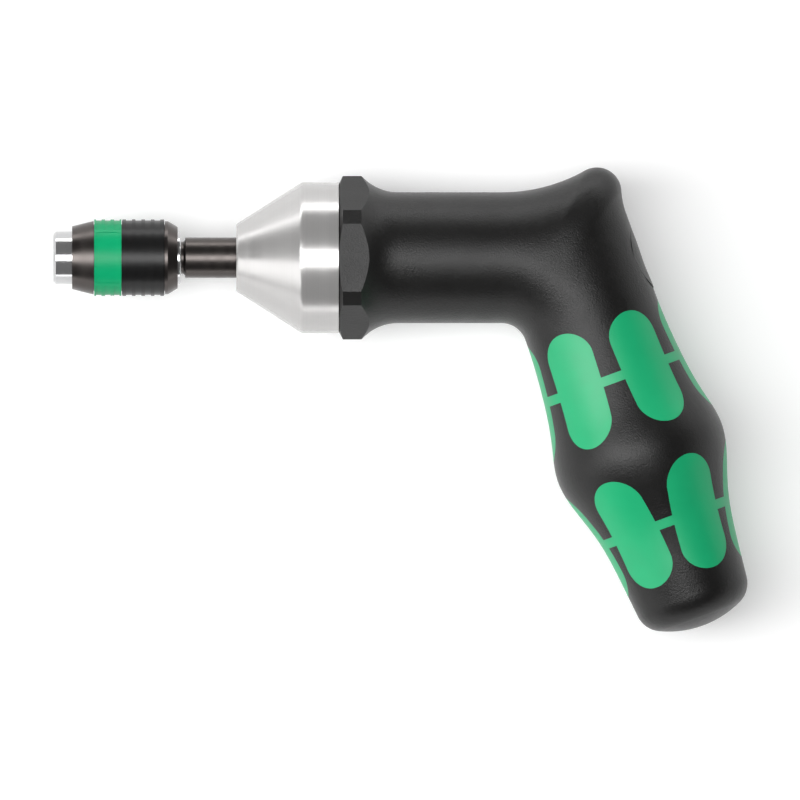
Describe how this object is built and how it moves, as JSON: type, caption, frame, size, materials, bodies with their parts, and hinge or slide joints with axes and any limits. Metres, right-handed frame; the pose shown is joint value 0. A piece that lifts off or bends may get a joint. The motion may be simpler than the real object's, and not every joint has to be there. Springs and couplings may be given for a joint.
{
  "type": "torque screwdriver",
  "caption": "Torque-limiting screwdriver with a pistol handle, soft inlays, a cone nose and a quick-release hexagon bit chuck.",
  "frame": {"origin": "on the drive axis, at the mouth of the hexagon bit socket", "axes": "+X runs back along the drive axis into the handle, +Y points away from the grip, +Z out of the side that faces up when the tool lies down"},
  "size_m": [0.1444, 0.0968, 0.0362],
  "materials": {
    "bright_chrome": "bright",
    "dark_steel": "satin",
    "brushed_housing": "turned, brushed round",
    "green_plastic": "satin",
    "black_ring": "satin",
    "black_handle": "fine satin texture",
    "green_inlay": "soft satin",
    "bronze_bush": "machined",
    "seal_rubber": "matte",
    "inner_steel": "machined"
  },
  "bodies": {
    "handle": {"handle_body": "black_handle", "grip_inlay_upper": "green_inlay", "grip_inlay_lower": "green_inlay", "nose_housing": "brushed_housing", "front_bush": "bronze_bush", "shaft_seal": "seal_rubber", "mechanism_tube": "inner_steel", "thrust_washer": "inner_steel", "end_plug": "inner_steel", "main_spring": "inner_steel"},
    "rear_plug": {"rear_plug": "black_handle"},
    "drive": {"chuck_body": "bright_chrome", "drive_shaft": "dark_steel", "cam_disc": "inner_steel", "cam_disc_clip": "inner_steel", "bit_magnet": "inner_steel", "spring_snap_ring": "inner_steel", "stop_snap_ring": "inner_steel", "chuck_spring": "inner_steel"},
    "sleeve_slider": {"sleeve_washer": "inner_steel"},
    "sleeve": {"chuck_sleeve": "dark_steel", "chuck_colour_ring": "green_plastic", "chuck_grip_ring": "black_ring", "chuck_rear_cap": "dark_steel"},
    "locking_ball_1": {"locking_ball_1": "inner_steel"},
    "locking_ball_2": {"locking_ball_2": "inner_steel"},
    "clutch": {"clutch_plate": "inner_steel", "clutch_balls": "inner_steel", "clutch_washer": "inner_steel"},
    "adjuster": {"adjusting_screw": "inner_steel"},
    "seat": {"spring_seat": "inner_steel"}
  },
  "joints": [
    {"name": "drive_spin", "type": "hinge", "parent": "handle", "child": "drive", "pos_m": [0, 0, 0], "axis": [1, 0, 0], "continuous": true},
    {"name": "sleeve_slide", "type": "slide", "parent": "drive", "child": "sleeve_slider", "axis": [-1, 0, 0], "range_m": [0, 0.0024], "stiffness_N_per_m": 1000, "deforming": ["chuck_spring"]},
    {"name": "sleeve_spin", "type": "hinge", "parent": "sleeve_slider", "child": "sleeve", "pos_m": [0, 0, 0], "axis": [1, 0, 0], "continuous": true},
    {"name": "ball_1_slide", "type": "slide", "parent": "drive", "child": "locking_ball_1", "axis": [0, 0, 1], "range_m": [0, 0.000705]},
    {"name": "ball_2_slide", "type": "slide", "parent": "drive", "child": "locking_ball_2", "axis": [0, 0, -1], "range_m": [0, 0.000705]},
    {"name": "clutch_lift", "type": "slide", "parent": "handle", "child": "clutch", "axis": [1, 0, 0], "range_m": [0, 0.0007], "stiffness_N_per_m": 17600, "deforming": ["main_spring"]},
    {"name": "adjuster_turn", "type": "hinge", "parent": "handle", "child": "adjuster", "pos_m": [0.092, 0, 0], "axis": [1, 0, 0], "range_deg": [-1440, 360]},
    {"name": "seat_slide", "type": "slide", "parent": "handle", "child": "seat", "axis": [1, 0, 0], "range_m": [-0.004, 0.001], "deforming": ["main_spring"]},
    {"name": "plug_slide", "type": "slide", "parent": "handle", "child": "rear_plug", "axis": [1, 0, 0], "range_m": [0, 0.02]}
  ],
  "couplings": [
    {"joint": "ball_1_slide", "follows": "sleeve_slide", "ratio": 0.2933},
    {"joint": "ball_2_slide", "follows": "sleeve_slide", "ratio": 0.2933},
    {"joint": "adjuster_turn", "follows": "seat_slide", "rad_per_m": 6283.2}
  ]
}
